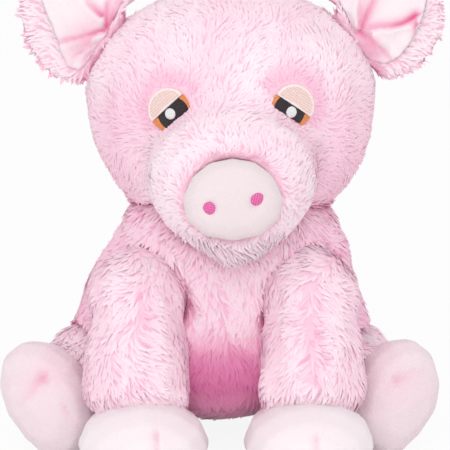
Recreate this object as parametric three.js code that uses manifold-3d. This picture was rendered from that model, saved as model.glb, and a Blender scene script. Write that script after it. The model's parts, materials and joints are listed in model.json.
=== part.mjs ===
// A plush pig that sits with its front legs upright. Millimetres, +Z up, the pig faces -Y.
// Every sewn member is a fabric cover round a loose filling, and turns at its seam.
import * as THREE from 'three';
import { mergeVertices } from 'three/addons/utils/BufferGeometryUtils.js';
import Module from 'manifold-3d';

const wasm = await Module();
wasm.setup();

// Fabrics, seams and clearances.
const plushThickness = 7;
const velourThickness = 2.2;
const seamGap = 0.3;
const neckClearance = 1;
const earClearance = 3;
const socketClearance = 0.8;
const restingCut = 0.5;
const cutOverrun = 40;
const seamOpening = 24;

// Facets round each kind of form.
const torsoSides = 18;
const headSides = 18;
const limbSides = 12;
const fillingSides = 8;
const smallSides = 8;
const liningSides = 24;
const ballSides = 20;
const ballRings = 6;

// Torso: a pear that stands on its rump, with a round shoulder dome under the head.
const torsoHeight = 166;
const torsoHalfWidth = 97;
const torsoDepth = 150;
const domeRadius = 67;
const neckShift = 4;
const rumpContactBack = 58;
const torsoShares = [
  // height, half width, front edge and back edge
  [0.0016, 0.144, 0.315, 0.445],
  [0.030, 0.38, 0.167, 0.507],
  [0.072, 0.65, -0.033, 0.560],
  [0.120, 0.84, -0.187, 0.587],
  [0.163, 0.93, -0.280, 0.600],
  [0.217, 0.98, -0.347, 0.607],
  [0.313, 1.00, -0.380, 0.607],
  [0.422, 0.965, -0.393, 0.580],
  [0.542, 0.875, -0.400, 0.533],
  [0.663, 0.785, -0.407, 0.473],
];
const domeShares = [
  // height and radius
  [0.771, 1.000],
  [0.855, 0.925],
  [0.916, 0.790],
  [0.964, 0.575],
  [0.991, 0.300],
];

// Head: a broad skull with full cheeks, carried on the dome.
const headHeight = 152;
const headHalfWidth = 88.5;
const headHalfDepth = 72;
const headBottom = 130;
const headSetBack = 5;
const headShift = 7;
const headRollDegrees = 0.8;
const headTurnDegrees = 2;
const skullShares = [
  // height and size
  [0.030, 0.45],
  [0.075, 0.62],
  [0.130, 0.715],
  [0.195, 0.80],
  [0.270, 0.87],
  [0.350, 0.925],
  [0.460, 0.97],
  [0.585, 1.00],
  [0.665, 0.97],
  [0.735, 0.915],
  [0.810, 0.83],
  [0.875, 0.71],
  [0.925, 0.565],
  [0.968, 0.37],
];

// Muzzle: the bulge below the eyes, of the head's own fabric.
const muzzleHalfWidth = 52;
const muzzleHalfHeight = 46;
const muzzleLength = 94;
const muzzleRootForward = 8;
const muzzleBelowMiddle = 32;
const muzzleShares = [
  [0.10, 0.62],
  [0.30, 0.93],
  [0.52, 1.00],
  [0.72, 0.93],
  [0.87, 0.74],
  [0.96, 0.46],
];

// Snout pad: an egg-shaped cushion, broad side down, sunk in the muzzle.
const snoutHalfWidth = 28.5;
const snoutHalfHeight = 24.5;
const snoutDepth = 34;
const snoutFront = 116;
const snoutDrop = 3;
const snoutEggShare = 0.13;
const snoutShares = [
  [0.12, 0.78],
  [0.40, 0.97],
  [0.66, 1.00],
  [0.84, 0.86],
  [0.95, 0.60],
];
const nostrilHalfWidth = 3.8;
const nostrilHalfHeight = 4.1;
const nostrilSpread = 13;
const nostrilDrop = 1.4;
const nostrilTiltDegrees = 8;
const nostrilSetBack = 4.2;
const stitchThickness = 1.6;

// Eyes: embroidered discs in clipped hollows of the fur, half closed and drooping outwards.
const eyeRadius = 11.4;
const eyeSpread = 37;
const eyeAboveMiddle = 11.7;
const eyeForward = 61;
const eyeOutwardDegrees = 17;
const eyeUpwardDegrees = 6;
const eyeDroopDegrees = 35;
const lidEdgeDrop = 1.8;
const pupilRadius = 7.4;
const pupilDrop = 3.3;
const highlightRadius = 3.2;
const highlightDrop = 5.6;

// Ears: broad leaves on a gathered root, cupped to the front and lined.
const earLength = 66;
const earHalfWidth = 40;
const earHalfThickness = 7;
const earStartBack = 8;
const earRootSpread = 76;
const earRootBelowCrown = 33;
const earRootBack = 6;
const earRiseDegrees = 42;
const earTipForward = 9;
const earRootLength = 40;
const earRootRadius = 8;
const earShares = [
  // way along, half width and half thickness
  [0.04, 0.60, 0.80],
  [0.12, 0.86, 1.00],
  [0.27, 1.00, 0.96],
  [0.46, 0.98, 0.86],
  [0.66, 0.84, 0.76],
  [0.83, 0.61, 0.64],
  [0.94, 0.36, 0.46],
];
const rootShares = [
  [0.06, 0.50],
  [0.22, 0.88],
  [0.50, 1.00],
  [0.78, 0.88],
  [0.94, 0.50],
];
const liningWidthShare = 0.74;
const liningLengthShare = 0.80;
const liningStartShare = 0.13;
const liningHalfThickness = 3.6;
const liningForward = 4.6;
const pleatCount = 3;
const pleatDepth = 3;

// How far each member turns, in degrees from rest.
const headRange = [-20, 20];
const earRange = [-25, 30];
const frontLiftDegrees = 45;
const hindLiftDegrees = 20;
const tailRange = [-40, 40];

// Front legs: upright columns on the shoulders, with a ball-shaped hoof each.
const shoulderSpread = 52;
const shoulderInset = 14.5;
const shoulderRise = 100;
const shoulderRadius = 31;
const frontAnkleReach = 36;
const frontAnkleRise = 36;
const frontLegRadius = 31;
const legShares = [
  [0.08, 0.70],
  [0.25, 0.97],
  [0.48, 1.04],
  [0.70, 1.02],
  [0.88, 0.92],
  [0.97, 0.55],
];
const frontFootLength = 96;
const frontFootHalfWidth = 38.5;
const frontFootHalfHeight = 24.5;
const frontFootSpread = 48;
const frontFootHeelSetBack = 44;
const footShares = [
  [0.05, 0.40],
  [0.16, 0.70],
  [0.34, 0.91],
  [0.54, 1.00],
  [0.72, 0.96],
  [0.87, 0.76],
  [0.96, 0.46],
];

// Hind legs: short thighs that lie forward, with an upright paddle foot each.
const hipInset = 16;
const hipForward = 2;
const hipRise = 40;
const hipRadius = 35;
const hindAnkleOutward = 18;
const hindAnkleForward = 32;
const thighRadius = 31;
const hindFootHeelOutward = 10;
const hindFootHeelForward = 10;
const hindFootSoleOutward = 32;
const hindFootSoleForward = 58;
const hindFootHalfWidth = 28;
const hindFootHalfHeight = 37;
const hindFootTiltDegrees = 18;
const paddleShares = [
  [0.07, 0.52],
  [0.22, 0.80],
  [0.44, 0.97],
  [0.64, 1.00],
  [0.82, 0.86],
  [0.94, 0.55],
];

// Tail: one curl of a thin stuffed tube on a round root.
const tailRootRadius = 7;
const tailRise = 66;
const tailStandOff = 2.1;
const tailTubeRadius = 4.6;
const tailCurlRadius = 11;
const tailCurlLength = 19;
const tailLeadLength = 12;
const tailCurlSteps = 14;
const tailShares = [
  [0.02, 0.70],
  [0.15, 1.08],
  [0.35, 1.00],
  [0.55, 0.95],
  [0.75, 0.88],
  [0.90, 0.76],
  [0.98, 0.45],
];

const finish = (colour, roughness) => {
  return new THREE.MeshStandardMaterial({ color: colour, roughness, metalness: 0 });
};
const pinkPlush = finish(0xf5bfdc, 0.95);
const creamVelour = finish(0xf9e6e6, 0.85);
const whiteFilling = finish(0xf4f2ec, 1);
const lidStitch = finish(0xf0c3b8, 0.6);
const amberStitch = finish(0xc8682c, 0.5);
const blackStitch = finish(0x181215, 0.45);
const whiteStitch = finish(0xfbfbfb, 0.5);
const magentaStitch = finish(0xd8408c, 0.55);

const radians = (degrees) => THREE.MathUtils.degToRad(degrees);
const X_AXIS = new THREE.Vector3(1, 0, 0);
const Y_AXIS = new THREE.Vector3(0, 1, 0);
const Z_AXIS = new THREE.Vector3(0, 0, 1);
const liftAxis = X_AXIS.clone().negate();

// A closed solid from welded points; triangles that weld to a line are left out.
function solidFrom(geometry) {
  const bare = new THREE.BufferGeometry();
  bare.setAttribute('position', geometry.getAttribute('position').clone());
  if (geometry.index) bare.setIndex(geometry.index.clone());
  const welded = mergeVertices(bare, restingCut / 1000);
  const corners = welded.index.array;
  const kept = [];
  for (let i = 0; i < corners.length; i += 3) {
    const [a, b, c] = [corners[i], corners[i + 1], corners[i + 2]];
    if (a !== b && b !== c && c !== a) kept.push(a, b, c);
  }
  return new wasm.Manifold(new wasm.Mesh({
    numProp: 3,
    vertProperties: new Float32Array(welded.getAttribute('position').array),
    triVerts: new Uint32Array(kept),
  }));
}

// The geometry of a closed skin over rings of points, with one pole at each end.
function skinOver(firstPole, rings, lastPole) {
  const points = [firstPole, ...rings.flat(), lastPole];
  const sides = rings[0].length;
  const last = points.length - 1;
  const faces = [];
  for (let side = 0; side < sides; side += 1) {
    const next = (side + 1) % sides;
    faces.push(0, 1 + next, 1 + side);
    for (let ring = 0; ring + 1 < rings.length; ring += 1) {
      const low = 1 + ring * sides;
      const high = low + sides;
      faces.push(low + side, low + next, high + next);
      faces.push(low + side, high + next, high + side);
    }
    const top = 1 + (rings.length - 1) * sides;
    faces.push(last, top + side, top + next);
  }
  const geometry = new THREE.BufferGeometry();
  const flat = points.flatMap((point) => [point.x, point.y, point.z]);
  geometry.setAttribute('position', new THREE.Float32BufferAttribute(flat, 3));
  geometry.setIndex(faces);
  return geometry;
}

// The inside of a cover and its filling take every second ring of the outer form.
const everySecond = (rings) => rings.filter((_, index) => index % 2 === rings.length % 2);

// A stuffed form: sections that swell and taper along a spine, drawn in by an inset.
// A section may be egg-shaped, and its sideways axis leans by the form's own side vector.
// A pleated form has furrows along its front, deep at the gathered root and none at the tip.
function furrowDepth(form, way, step, sides) {
  if (!form.pleats) return 0;
  const apart = sides / 2 / (form.pleats + 1);
  const angle = (step / sides) * 2 * Math.PI;
  const isFront = Math.sin(angle) * form.frontSign > 1 / sides;
  return isFront && step % apart === 0 ? (1 - way) * pleatDepth * form.frontSign : 0;
}
function stuffed(form, sides, inset) {
  const margin = inset / form.spine.getLength();
  const place = (share) => margin + share * (1 - 2 * margin);
  const at = (share) => {
    const inside = THREE.MathUtils.clamp(share, 0, 1);
    const end = form.spine.getPointAt(inside);
    const tangent = form.spine.getTangentAt(inside);
    return end.addScaledVector(tangent, (share - inside) * form.spine.getLength());
  };
  const sections = inset > 0 ? everySecond(form.sections) : form.sections;
  const rings = sections.map(([along, across, through]) => {
    const centre = at(place(along));
    const tangent = form.spine.getTangentAt(THREE.MathUtils.clamp(place(along), 0, 1));
    const side = form.side.clone().addScaledVector(tangent, -form.side.dot(tangent)).normalize();
    const up = new THREE.Vector3().crossVectors(tangent, side);
    return Array.from({ length: sides }, (_, step) => {
      const angle = (step / sides) * 2 * Math.PI;
      const egg = 1 - (form.egg ?? 0) * Math.sin(angle);
      const sideways = (across - inset) * Math.cos(angle) * egg;
      const furrow = furrowDepth(form, along, step, sides);
      const upwards = (through - inset) * Math.sin(angle) - furrow;
      return centre.clone().addScaledVector(side, sideways).addScaledVector(up, upwards);
    });
  });
  return solidFrom(skinOver(at(place(0)), rings, at(place(1))));
}

// An upright form of level rings, each with its own half width, front and back edge.
function uprightForm(levels, firstPole, lastPole) {
  return { levels, firstPole, lastPole };
}
function upright(form, sides, inset) {
  const low = form.firstPole.z;
  const high = form.lastPole.z;
  const squeeze = (height) => low + inset + (height - low) * (1 - (2 * inset) / (high - low));
  const levels = inset > 0 ? everySecond(form.levels) : form.levels;
  const rings = levels.map((level) => {
    const halfDepth = (level.back - level.front) / 2 - inset;
    const middle = (level.back + level.front) / 2;
    return Array.from({ length: sides }, (_, step) => {
      const angle = (step / sides) * 2 * Math.PI;
      const x = (level.shift ?? 0) + (level.halfWidth - inset) * Math.cos(angle);
      return new THREE.Vector3(x, middle + halfDepth * Math.sin(angle), squeeze(level.height));
    });
  });
  const bottom = form.firstPole.clone().setZ(squeeze(low));
  const top = form.lastPole.clone().setZ(squeeze(high));
  return solidFrom(skinOver(bottom, rings, top));
}

const along = (from, to) => new THREE.LineCurve3(from, to);
const bent = (from, through, to) => new THREE.QuadraticBezierCurve3(from, through, to);
const sized = (shares, across, through) => {
  return shares.map(([way, size, other]) => [way, size * across, (other ?? size) * through]);
};
const allOf = (solids) => solids.reduce((whole, solid) => whole.add(solid));
const without = (solid, cuts) => cuts.reduce((rest, cut) => rest.subtract(cut), solid);

// A ball whose poles lie on the joint's axis, so that it turns in its socket.
function ball(centre, radius) {
  const geometry = new THREE.SphereGeometry(radius, ballSides, ballRings);
  geometry.rotateZ(Math.PI / 2);
  geometry.translate(centre.x, centre.y, centre.z);
  return solidFrom(geometry);
}
function rod(from, to, radius, sides) {
  const length = from.distanceTo(to);
  const geometry = new THREE.CylinderGeometry(radius, radius, length, sides);
  const direction = to.clone().sub(from).normalize();
  geometry.applyQuaternion(new THREE.Quaternion().setFromUnitVectors(Y_AXIS, direction));
  const middle = from.clone().lerp(to, 1 / 2);
  geometry.translate(middle.x, middle.y, middle.z);
  return solidFrom(geometry);
}

// Everything below the resting surface, as one block.
const floorSpan = torsoDepth * 4;
const floorBlock = new THREE.BoxGeometry(floorSpan, floorSpan, floorSpan);
floorBlock.translate(0, 0, -floorSpan / 2);
const belowFloor = solidFrom(floorBlock);

// The torso's form stands restingCut below the floor and is cut flat there.
const torsoLevels = [
  ...torsoShares.map(([height, width, front, back]) => ({
    height: height * torsoHeight,
    halfWidth: width * torsoHalfWidth,
    front: front * torsoDepth,
    back: back * torsoDepth,
    shift: neckShift * height * height,
  })),
  ...domeShares.map(([height, radius]) => ({
    height: height * torsoHeight,
    halfWidth: radius * domeRadius,
    front: -radius * domeRadius,
    back: radius * domeRadius,
    shift: neckShift,
  })),
];
const torsoForm = uprightForm(
  torsoLevels,
  new THREE.Vector3(0, rumpContactBack, -restingCut),
  new THREE.Vector3(neckShift, 0, torsoHeight),
);
// The front or back edge of the torso at a height, between the levels next to it.
function torsoEdge(height, edge) {
  const above = torsoLevels.findIndex((level) => level.height > height);
  const low = torsoLevels[above - 1];
  const high = torsoLevels[above];
  const way = (height - low.height) / (high.height - low.height);
  return low[edge] + (high[edge] - low[edge]) * way;
}
const shoulderForward = -torsoEdge(shoulderRise, 'front') - shoulderInset;
const hipSpread = torsoHalfWidth - hipInset;
const torsoOuter = upright(torsoForm, torsoSides, 0);
const torsoReach = upright(torsoForm, torsoSides, -seamGap);
const neckSocket = upright(torsoForm, torsoSides, -neckClearance);

// A form is lowered or raised until its lowest point is restingCut below the floor.
function settled(form) {
  const lowest = stuffed(form, limbSides, 0).boundingBox().min[2];
  const drop = new THREE.Vector3(0, 0, -lowest - restingCut);
  return { ...form, spine: along(form.spine.v1.clone().add(drop), form.spine.v2.clone().add(drop)) };
}

// A solid turned about the lifting axis through a joint.
const liftShares = [0, 0.2, 0.4, 0.6, 0.8, 1];
function turned(solid, joint, degrees) {
  const geometry = shapeOf(solid);
  geometry.translate(-joint.x, -joint.y, -joint.z);
  geometry.applyMatrix4(new THREE.Matrix4().makeRotationAxis(liftAxis, radians(degrees)));
  geometry.translate(joint.x, joint.y, joint.z);
  return solidFrom(geometry);
}

// One limb: a ball in the torso's socket, a leg and a foot, round one filling.
function limb(joint, jointRadius, liftDegrees, leg, foot) {
  const swept = liftShares.map((share) => turned(torsoReach, joint, -share * liftDegrees));
  const legFree = without(stuffed(leg, limbSides, 0), swept);
  const outerLeg = allOf([ball(joint, jointRadius), legFree]);
  const footBody = without(stuffed(foot, limbSides, 0), [belowFloor, ...swept]);
  const footReach = stuffed(foot, limbSides, -seamGap);
  const hollow = (extra) => [
    ball(joint, jointRadius - plushThickness - extra),
    without(stuffed(leg, fillingSides, plushThickness + extra), [torsoOuter]),
    stuffed(foot, fillingSides, velourThickness + extra),
  ];
  return {
    leg: without(outerLeg, [footReach, ...hollow(0), belowFloor]),
    foot: without(footBody, hollow(0)),
    filling: without(allOf(hollow(seamGap)), [belowFloor]),
  };
}
function frontLimb(side) {
  const joint = new THREE.Vector3(side * shoulderSpread, -shoulderForward, shoulderRise);
  const ankle = joint.clone().addScaledVector(Y_AXIS, -frontAnkleReach).setZ(frontAnkleRise);
  const heel = new THREE.Vector3(side * frontFootSpread, ankle.y + frontFootHeelSetBack, 0);
  const toe = heel.clone().addScaledVector(Y_AXIS, -frontFootLength);
  const leg = {
    spine: along(joint, ankle),
    side: X_AXIS,
    sections: sized(legShares, frontLegRadius, frontLegRadius),
  };
  const foot = {
    spine: along(heel, toe),
    side: X_AXIS,
    sections: sized(footShares, frontFootHalfWidth, frontFootHalfHeight),
  };
  return { joint, ...limb(joint, shoulderRadius, frontLiftDegrees, leg, settled(foot)) };
}

function hindLimb(side) {
  const joint = new THREE.Vector3(side * hipSpread, -hipForward, hipRise);
  const outward = (reach) => side * (hipSpread + reach);
  const ankle = new THREE.Vector3(outward(hindAnkleOutward), -hindAnkleForward, hipRise);
  const heel = new THREE.Vector3(outward(hindFootHeelOutward), -hindFootHeelForward, 0);
  const sole = new THREE.Vector3(outward(hindFootSoleOutward), -hindFootSoleForward, 0);
  const tilt = radians(side * hindFootTiltDegrees);
  const leg = {
    spine: along(joint, ankle),
    side: X_AXIS,
    sections: sized(legShares, thighRadius, thighRadius),
  };
  const foot = {
    spine: along(heel, sole),
    side: X_AXIS.clone().applyAxisAngle(Y_AXIS, tilt),
    sections: sized(paddleShares, hindFootHalfWidth, hindFootHalfHeight),
  };
  return { joint, ...limb(joint, hipRadius, hindLiftDegrees, leg, settled(foot)) };
}

const limbs = {
  left_front: frontLimb(1),
  right_front: frontLimb(-1),
  left_hind: hindLimb(1),
  right_hind: hindLimb(-1),
};

// The tail leads straight back from its root and then curls once.
const tailBack = torsoEdge(tailRise, 'back') + tailStandOff;
const tailRoot = new THREE.Vector3(0, tailBack, tailRise);
const tailPoints = [tailRoot, tailRoot.clone().addScaledVector(Y_AXIS, tailLeadLength / 2)];
for (let step = 0; step <= tailCurlSteps; step += 1) {
  const turn = (step / tailCurlSteps) * 2 * Math.PI;
  const rise = tailCurlRadius * (1 - Math.cos(turn));
  const drift = tailCurlRadius * Math.sin(turn);
  const back = tailLeadLength + (step / tailCurlSteps) * tailCurlLength;
  tailPoints.push(tailRoot.clone().add(new THREE.Vector3(drift, back, rise)));
}
const tailForm = {
  spine: new THREE.CatmullRomCurve3(tailPoints),
  side: Z_AXIS,
  sections: [],
};
const tailSteps = tailCurlSteps * 2;
for (let step = 1; step < tailSteps; step += 1) {
  const way = step / tailSteps;
  const after = tailShares.find(([share]) => share >= way) ?? tailShares.at(-1);
  tailForm.sections.push([way, after[1] * tailTubeRadius, after[1] * tailTubeRadius]);
}
const tailTube = stuffed(tailForm, smallSides / 2, 0);
const tail = allOf([ball(tailRoot, tailRootRadius), tailTube]);

// What is cut out of the torso: a socket for each limb and for the tail.
const sockets = [
  ...Object.keys(limbs).map((name) => {
    const radius = name.endsWith('front') ? shoulderRadius : hipRadius;
    return ball(limbs[name].joint, radius + socketClearance);
  }),
  ball(tailRoot, tailRootRadius + socketClearance),
];
const torsoBody = without(torsoOuter, [belowFloor, ...sockets]);
const torsoHollow = upright(torsoForm, fillingSides, plushThickness);
const torsoCover = without(torsoBody, [torsoHollow]);
const torsoFilling = without(
  upright(torsoForm, fillingSides, plushThickness + seamGap),
  sockets,
);

// Pieces of the head are modelled level and then shifted and rolled about the neck.
const headPose = new THREE.Matrix4()
  .makeRotationFromEuler(
    new THREE.Euler(0, radians(-headRollDegrees), radians(-headTurnDegrees)),
  )
  .setPosition(headShift, 0, 0);
const neckPoint = new THREE.Vector3(neckShift, 0, torsoHeight);
function posed(solid) {
  const geometry = shapeOf(solid);
  geometry.translate(-neckPoint.x, -neckPoint.y, -neckPoint.z);
  geometry.applyMatrix4(headPose);
  geometry.translate(neckPoint.x, neckPoint.y, neckPoint.z);
  return solidFrom(geometry);
}
function posedPoint(point, isPlace) {
  const moved = point.clone();
  if (!isPlace) return moved.transformDirection(headPose);
  return moved.sub(neckPoint).applyMatrix4(headPose).add(neckPoint);
}
function shapeOf(solid) {
  const mesh = solid.getMesh();
  const geometry = new THREE.BufferGeometry();
  const points = new THREE.Float32BufferAttribute(mesh.vertProperties, 3);
  geometry.setAttribute('position', points);
  geometry.setIndex(Array.from(mesh.triVerts));
  return geometry;
}

// The face's features keep their places between the head's bottom and its crown.
const headMiddle = headBottom + headHeight / 2;
const muzzleRise = headMiddle - muzzleBelowMiddle;
const snoutRise = muzzleRise - snoutDrop;
const eyeRise = headMiddle + eyeAboveMiddle;
const earRootRise = headBottom + headHeight - earRootBelowCrown;
const skullForm = uprightForm(
  skullShares.map(([height, size]) => ({
    height: headBottom + height * headHeight,
    halfWidth: size * headHalfWidth,
    front: headSetBack - size * headHalfDepth,
    back: headSetBack + size * headHalfDepth,
  })),
  new THREE.Vector3(0, headSetBack, headBottom),
  new THREE.Vector3(0, headSetBack, headBottom + headHeight),
);
const skullReach = upright(skullForm, headSides, -earClearance);
const muzzleRoot = new THREE.Vector3(0, -muzzleRootForward, muzzleRise);
const muzzleForm = {
  spine: along(muzzleRoot, muzzleRoot.clone().addScaledVector(Y_AXIS, -muzzleLength)),
  side: X_AXIS,
  sections: sized(muzzleShares, muzzleHalfWidth, muzzleHalfHeight),
};
const snoutTip = new THREE.Vector3(0, -snoutFront, snoutRise);
const snoutForm = {
  spine: along(snoutTip.clone().addScaledVector(Y_AXIS, snoutDepth), snoutTip),
  side: X_AXIS,
  sections: sized(snoutShares, snoutHalfWidth, snoutHalfHeight),
  egg: snoutEggShare,
};
const snoutReach = stuffed(snoutForm, limbSides, -seamGap);

// A flat stitched disc or its clearance: an oval rod across the line of sight of its place.
function stitchedOval(centre, facing, halfWidth, halfHeight, thickness, roll) {
  const geometry = new THREE.CylinderGeometry(1, 1, thickness, smallSides);
  geometry.scale(halfWidth, 1, halfHeight);
  geometry.rotateY(roll);
  geometry.applyQuaternion(new THREE.Quaternion().setFromUnitVectors(Y_AXIS, facing));
  geometry.translate(centre.x, centre.y, centre.z);
  return solidFrom(geometry);
}

// Nostrils lie in shallow hollows of the snout cover's face.
const nostrils = [1, -1].map((side) => {
  const tilt = radians(nostrilTiltDegrees);
  const centre = new THREE.Vector3(
    side * nostrilSpread * Math.cos(tilt),
    -(snoutFront - nostrilSetBack),
    snoutRise - nostrilDrop + side * nostrilSpread * Math.sin(tilt),
  );
  const facing = Y_AXIS.clone().negate();
  const hollowCentre = centre.clone();
  hollowCentre.y += -cutOverrun / 2 + stitchThickness / 2 + seamGap;
  const wide = nostrilHalfWidth + seamGap;
  const tall = nostrilHalfHeight + seamGap;
  return {
    patch: stitchedOval(centre, facing, nostrilHalfWidth, nostrilHalfHeight, stitchThickness, 0),
    hollow: stitchedOval(hollowCentre, facing, wide, tall, cutOverrun, 0),
  };
});
const snoutOpening = rod(
  snoutTip.clone().addScaledVector(Y_AXIS, snoutDepth / 2),
  snoutTip.clone().addScaledVector(Y_AXIS, snoutDepth * 2),
  seamOpening / 2,
  fillingSides,
);
const nostrilHollows = nostrils.map((nostril) => nostril.hollow);
const snoutHollow = stuffed(snoutForm, fillingSides, velourThickness * 2);
const snoutCover = without(
  stuffed(snoutForm, limbSides, 0),
  [snoutHollow, snoutOpening, ...nostrilHollows],
);
const snoutFilling = stuffed(snoutForm, fillingSides, velourThickness * 2 + seamGap);

// One eye: a disc split by the lid's straight edge into lid and eyeball.
function eye(side) {
  const facing = new THREE.Vector3(0, -1, 0);
  facing.applyAxisAngle(X_AXIS, -radians(eyeUpwardDegrees));
  facing.applyAxisAngle(Z_AXIS, radians(side * eyeOutwardDegrees));
  const centre = new THREE.Vector3(side * eyeSpread, -eyeForward, eyeRise);
  const across = new THREE.Vector3().crossVectors(Z_AXIS, facing).normalize();
  const droop = radians(-side * eyeDroopDegrees);
  across.applyAxisAngle(facing, droop);
  const down = new THREE.Vector3().crossVectors(across, facing).normalize();
  if (down.z > 0) down.negate();
  const disc = (radius, drop, thickness) => {
    const middle = centre.clone().addScaledVector(down, drop);
    return stitchedOval(middle, facing, radius, radius, thickness, 0);
  };
  const half = (direction, drop) => {
    const size = eyeRadius * 4;
    const block = new THREE.BoxGeometry(size, size, size);
    const frame = new THREE.Matrix4().makeBasis(across, direction, facing);
    if (frame.determinant() < 0) frame.makeBasis(across.clone().negate(), direction, facing);
    block.applyMatrix4(frame);
    const middle = centre.clone().addScaledVector(down, drop);
    middle.addScaledVector(direction, size / 2);
    block.translate(middle.x, middle.y, middle.z);
    return solidFrom(block);
  };
  const whole = disc(eyeRadius, 0, stitchThickness);
  const up = down.clone().negate();
  const eyeball = without(whole, [half(up, lidEdgeDrop + seamGap / 2)]);
  const pupilPlace = pupilDrop;
  const pupilBody = eyeball.intersect(disc(pupilRadius, pupilPlace, stitchThickness * 2));
  const light = disc(highlightRadius, highlightDrop, stitchThickness);
  const hollowCentre = facing.clone().multiplyScalar(
    cutOverrun / 2 - stitchThickness / 2 - seamGap,
  ).add(centre);
  const room = eyeRadius + seamGap;
  return {
    eyelid: without(whole, [half(down, lidEdgeDrop - seamGap / 2)]),
    iris: without(eyeball, [disc(pupilRadius + seamGap, pupilPlace, stitchThickness * 2)]),
    pupil: without(pupilBody, [disc(highlightRadius + seamGap, highlightDrop, eyeRadius)]),
    eye_highlight: light,
    hollow: stitchedOval(hollowCentre, facing, room, room, cutOverrun, 0),
  };
}
const eyes = { left: eye(1), right: eye(-1) };

// One ear: a leaf joined to a spindle that lies along the seam and turns in the head.
function ear(side) {
  const rise = radians(earRiseDegrees);
  const outward = new THREE.Vector3(side * Math.cos(rise), 0, Math.sin(rise));
  const seam = new THREE.Vector3(side * Math.sin(rise), 0, -Math.cos(rise));
  const root = new THREE.Vector3(side * earRootSpread, earRootBack, earRootRise);
  const forward = Y_AXIS.clone().negate();
  const start = root.clone().addScaledVector(outward, -earStartBack);
  const middle = start.clone().addScaledVector(outward, earLength / 2);
  const tip = start.clone().addScaledVector(outward, earLength);
  tip.addScaledVector(forward, earTipForward);
  const leaf = {
    spine: bent(start, middle, tip),
    side: seam,
    sections: sized(earShares, earHalfWidth, earHalfThickness),
  };
  const halfRoot = earRootLength / 2;
  const spindle = {
    spine: along(
      root.clone().addScaledVector(seam, -halfRoot),
      root.clone().addScaledVector(seam, halfRoot),
    ),
    side: outward,
    sections: sized(rootShares, earRootRadius, earRootRadius),
  };
  const shift = forward.clone().multiplyScalar(liningForward);
  const lineStart = leaf.spine.getPointAt(liningStartShare).add(shift);
  const lineEnd = leaf.spine.getPointAt(liningStartShare + liningLengthShare).add(shift);
  const lineMiddle = leaf.spine.getPointAt(liningStartShare + liningLengthShare / 2).add(shift);
  const lining = {
    spine: bent(lineStart, lineMiddle, lineEnd),
    side: seam,
    sections: sized(
      earShares.slice(1).map(([way, width]) => [way, width, 1]),
      earHalfWidth * liningWidthShare,
      liningHalfThickness,
    ),
  };
  const pleated = { ...lining, pleats: pleatCount, frontSign: -side };
  const leafFree = without(stuffed(leaf, limbSides, 0), [skullReach]);
  const whole = allOf([leafFree, stuffed(spindle, smallSides, 0)]);
  return {
    ear_back: without(whole, [stuffed(lining, liningSides, -seamGap)]),
    ear_lining: stuffed(pleated, liningSides, 0),
    socket: stuffed(spindle, smallSides, -socketClearance),
    joint: posedPoint(root, true),
    axis: posedPoint(seam.clone().multiplyScalar(side), false),
  };
}
const ears = { left: ear(1), right: ear(-1) };

const headCuts = [
  snoutReach,
  eyes.left.hollow,
  eyes.right.hollow,
  ears.left.socket,
  ears.right.socket,
];
const headOuter = allOf([upright(skullForm, headSides, 0), stuffed(muzzleForm, headSides, 0)]);
const headHollow = (extra) => allOf([
  upright(skullForm, fillingSides, plushThickness + extra),
  stuffed(muzzleForm, fillingSides, plushThickness + extra),
]);
const headCover = without(headOuter, [...headCuts, headHollow(0)]);
const headFilling = without(headHollow(seamGap), headCuts);

const pig = new THREE.Group();
pig.name = 'plush_pig';
const pieces = [];
function addPiece(name, solid, material) {
  const mesh = new THREE.Mesh(shapeOf(solid), material);
  mesh.name = name;
  pieces.push(mesh);
  pig.add(mesh);
}

addPiece('torso_cover', torsoCover, pinkPlush);
addPiece('torso_stuffing', torsoFilling, whiteFilling);
addPiece('head_cover', without(posed(headCover), [neckSocket]), pinkPlush);
addPiece('head_stuffing', without(posed(headFilling), [neckSocket]), whiteFilling);
addPiece('snout_cover', posed(snoutCover), creamVelour);
addPiece('snout_stuffing', posed(snoutFilling), whiteFilling);
addPiece('left_nostril', posed(nostrils[0].patch), magentaStitch);
addPiece('right_nostril', posed(nostrils[1].patch), magentaStitch);
const stitches = {
  eyelid: lidStitch,
  iris: amberStitch,
  pupil: blackStitch,
  eye_highlight: whiteStitch,
};
for (const side of ['left', 'right']) {
  for (const [name, thread] of Object.entries(stitches)) {
    addPiece(`${side}_${name}`, posed(eyes[side][name]), thread);
  }
  addPiece(`${side}_ear_back`, posed(ears[side].ear_back), pinkPlush);
  addPiece(`${side}_ear_lining`, posed(ears[side].ear_lining), creamVelour);
}
for (const [name, member] of Object.entries(limbs)) {
  addPiece(`${name}_leg_cover`, member.leg, pinkPlush);
  addPiece(`${name}_foot_cover`, member.foot, creamVelour);
  addPiece(`${name}_leg_stuffing`, member.filling, whiteFilling);
}
addPiece('tail', tail, pinkPlush);

// The frame's origin is the bottom centre of the whole toy's box.
const box = new THREE.Box3().setFromObject(pig);
const centre = box.getCenter(new THREE.Vector3());
for (const piece of pieces) {
  piece.geometry.translate(-centre.x, -centre.y, -box.min.z);
}
pig.userData.shift = [-centre.x, -centre.y, -box.min.z];

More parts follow.
